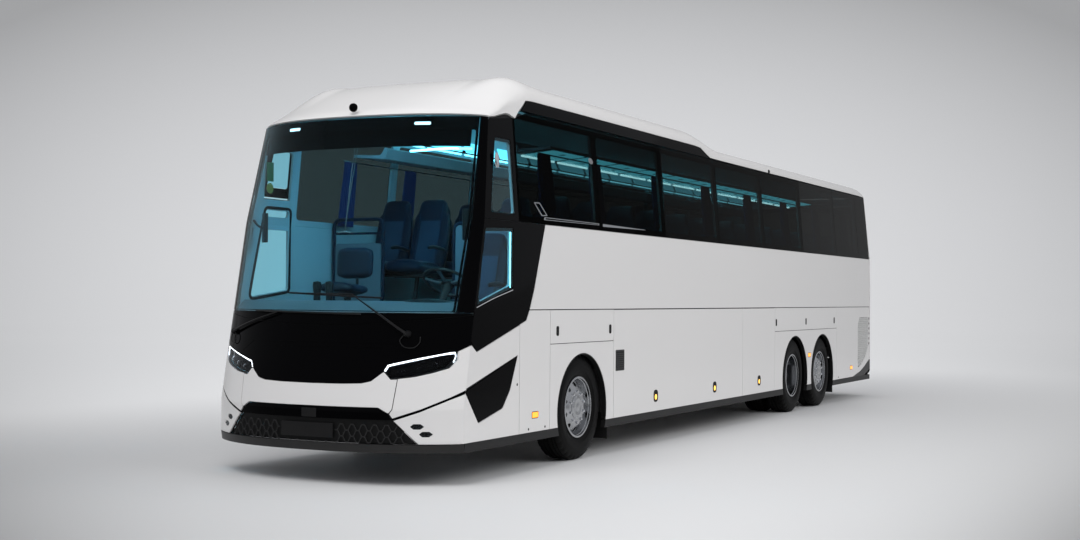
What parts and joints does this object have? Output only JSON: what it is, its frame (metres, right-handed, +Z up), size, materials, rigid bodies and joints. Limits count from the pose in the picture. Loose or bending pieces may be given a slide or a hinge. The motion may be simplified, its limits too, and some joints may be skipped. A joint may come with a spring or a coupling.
{
  "type": "coach bus",
  "caption": "Long three-axle touring coach with a rounded nose, dark wrap-round glass, plug doors, luggage flaps, steered front wheels and a seated cabin.",
  "frame": {"origin": "on the ground under the middle of the coach's length and width", "axes": "+Z up, +X to the coach's left, the nose towards -Y and the tail towards +Y"},
  "size_m": [2.55, 14, 3.615],
  "materials": {
    "body_white": "gloss",
    "black_gloss": "gloss",
    "black_trim": "satin",
    "dark_glass": "polished",
    "clear_glass": "polished",
    "alloy": "polished",
    "tyre": "matte",
    "frame_steel": "satin",
    "axle_iron": "satin",
    "lamp_clear": "polished",
    "lamp_red": "gloss",
    "seat_fabric": "woven",
    "cabin_grey": "satin",
    "floor_vinyl": "matte",
    "wheel_rim_leather": "satin"
  },
  "bodies": {
    "body": {"chassis_frame": "frame_steel", "cabin_floor": "floor_vinyl", "front_floor": "floor_vinyl", "middle_stair": "floor_vinyl", "wheel_housings": "black_trim", "engine_block": "axle_iron", "front_axle_beam": "axle_iron", "drive_axle": "axle_iron", "tag_axle_beam": "axle_iron", "left_wall": "body_white", "right_wall": "body_white", "side_strips": "black_trim", "roof_shell": "body_white", "front_fascia": "black_gloss", "front_pillars": "black_gloss", "front_bumper": "body_white", "lower_grille": "black_trim", "headlights": "lamp_clear", "windscreen": "clear_glass", "wipers": "black_trim", "left_windows": "dark_glass", "right_windows": "dark_glass", "rear_wall": "body_white", "rear_window": "dark_glass", "rear_bumper": "black_trim", "tail_lights": "lamp_red", "passenger_seats": "seat_fabric", "driver_seat": "seat_fabric", "front_partition": "cabin_grey", "dashboard": "cabin_grey", "steering_wheel": "wheel_rim_leather", "luggage_racks": "cabin_grey"},
    "steer_left": {"knuckle_left": "axle_iron"},
    "steer_right": {"knuckle_right": "axle_iron"},
    "tag_steer_left": {"tag_knuckle_left": "axle_iron"},
    "tag_steer_right": {"tag_knuckle_right": "axle_iron"},
    "front_wheel_left": {"front_tyre_left": "tyre", "front_rim_left": "alloy"},
    "front_wheel_right": {"front_tyre_right": "tyre", "front_rim_right": "alloy"},
    "drive_wheels_left": {"drive_tyres_left": "tyre", "drive_rims_left": "alloy"},
    "drive_wheels_right": {"drive_tyres_right": "tyre", "drive_rims_right": "alloy"},
    "tag_wheel_left": {"tag_tyre_left": "tyre", "tag_rim_left": "alloy"},
    "tag_wheel_right": {"tag_tyre_right": "tyre", "tag_rim_right": "alloy"},
    "front_door_swing": {"front_door_arm": "frame_steel"},
    "front_door_leaf": {"front_door": "body_white", "front_door_glass": "dark_glass"},
    "mid_door_swing": {"mid_door_arm": "frame_steel"},
    "mid_door_leaf": {"mid_door": "body_white", "mid_door_glass": "dark_glass"},
    "flap_left_front": {"left_front_flap": "body_white"},
    "flap_left_rear": {"left_rear_flap": "body_white"},
    "flap_right_front": {"right_front_flap": "body_white"},
    "flap_right_rear": {"right_rear_flap": "body_white"},
    "engine_hatch": {"engine_hatch": "body_white"}
  },
  "joints": [
    {"name": "steer_left", "type": "hinge", "parent": "body", "child": "steer_left", "pos_m": [0.93, -4.238, 0.512], "axis": [0, 0, 1], "range_deg": [-40, 40]},
    {"name": "tag_steer_left", "type": "hinge", "parent": "body", "child": "tag_steer_left", "pos_m": [0.93, 4.072, 0.512], "axis": [0, 0, -1], "range_deg": [-12, 12]},
    {"name": "front_wheel_left", "type": "hinge", "parent": "steer_left", "child": "front_wheel_left", "pos_m": [1.093, -4.238, 0.512], "axis": [1, 0, 0], "continuous": true},
    {"name": "drive_wheels_left", "type": "hinge", "parent": "body", "child": "drive_wheels_left", "pos_m": [1.093, 2.722, 0.512], "axis": [1, 0, 0], "continuous": true},
    {"name": "tag_wheel_left", "type": "hinge", "parent": "tag_steer_left", "child": "tag_wheel_left", "pos_m": [1.093, 4.072, 0.512], "axis": [1, 0, 0], "continuous": true},
    {"name": "steer_right", "type": "hinge", "parent": "body", "child": "steer_right", "pos_m": [-0.93, -4.238, 0.512], "axis": [0, 0, 1], "range_deg": [-40, 40]},
    {"name": "tag_steer_right", "type": "hinge", "parent": "body", "child": "tag_steer_right", "pos_m": [-0.93, 4.072, 0.512], "axis": [0, 0, -1], "range_deg": [-12, 12]},
    {"name": "front_wheel_right", "type": "hinge", "parent": "steer_right", "child": "front_wheel_right", "pos_m": [-1.093, -4.238, 0.512], "axis": [1, 0, 0], "continuous": true},
    {"name": "drive_wheels_right", "type": "hinge", "parent": "body", "child": "drive_wheels_right", "pos_m": [-1.093, 2.722, 0.512], "axis": [1, 0, 0], "continuous": true},
    {"name": "tag_wheel_right", "type": "hinge", "parent": "tag_steer_right", "child": "tag_wheel_right", "pos_m": [-1.093, 4.072, 0.512], "axis": [1, 0, 0], "continuous": true},
    {"name": "front_door_arm", "type": "hinge", "parent": "body", "child": "front_door_swing", "pos_m": [-1.14, -5.6, 0.6], "axis": [0, 0, -1], "range_deg": [0, 150]},
    {"name": "front_door_leaf", "type": "hinge", "parent": "front_door_swing", "child": "front_door_leaf", "pos_m": [-1.14, -6.066, 0.6], "axis": [0, 0, 1], "range_deg": [0, 150]},
    {"name": "mid_door_arm", "type": "hinge", "parent": "body", "child": "mid_door_swing", "pos_m": [-1.14, 1.67, 0.6], "axis": [0, 0, -1], "range_deg": [0, 150]},
    {"name": "mid_door_leaf", "type": "hinge", "parent": "mid_door_swing", "child": "mid_door_leaf", "pos_m": [-1.14, 1.204, 0.6], "axis": [0, 0, 1], "range_deg": [0, 150]},
    {"name": "flap_left_front", "type": "hinge", "parent": "body", "child": "flap_left_front", "pos_m": [1.275, -1.5, 1.455], "axis": [0, -1, 0], "range_deg": [0, 100]},
    {"name": "flap_left_rear", "type": "hinge", "parent": "body", "child": "flap_left_rear", "pos_m": [1.275, 1.2, 1.455], "axis": [0, -1, 0], "range_deg": [0, 100]},
    {"name": "flap_right_front", "type": "hinge", "parent": "body", "child": "flap_right_front", "pos_m": [-1.275, -2.4, 1.455], "axis": [0, 1, 0], "range_deg": [0, 100]},
    {"name": "flap_right_rear", "type": "hinge", "parent": "body", "child": "flap_right_rear", "pos_m": [-1.275, -0.2, 1.455], "axis": [0, 1, 0], "range_deg": [0, 100]},
    {"name": "engine_hatch", "type": "hinge", "parent": "body", "child": "engine_hatch", "pos_m": [0, 7, 1.78], "axis": [1, 0, 0], "range_deg": [0, 80]}
  ],
  "couplings": [
    {"joint": "steer_right", "follows": "steer_left", "ratio": 1},
    {"joint": "tag_steer_left", "follows": "steer_left", "ratio": 0.3},
    {"joint": "tag_steer_right", "follows": "steer_left", "ratio": 0.3},
    {"joint": "front_door_leaf", "follows": "front_door_arm", "ratio": 1},
    {"joint": "mid_door_leaf", "follows": "mid_door_arm", "ratio": 1}
  ]
}
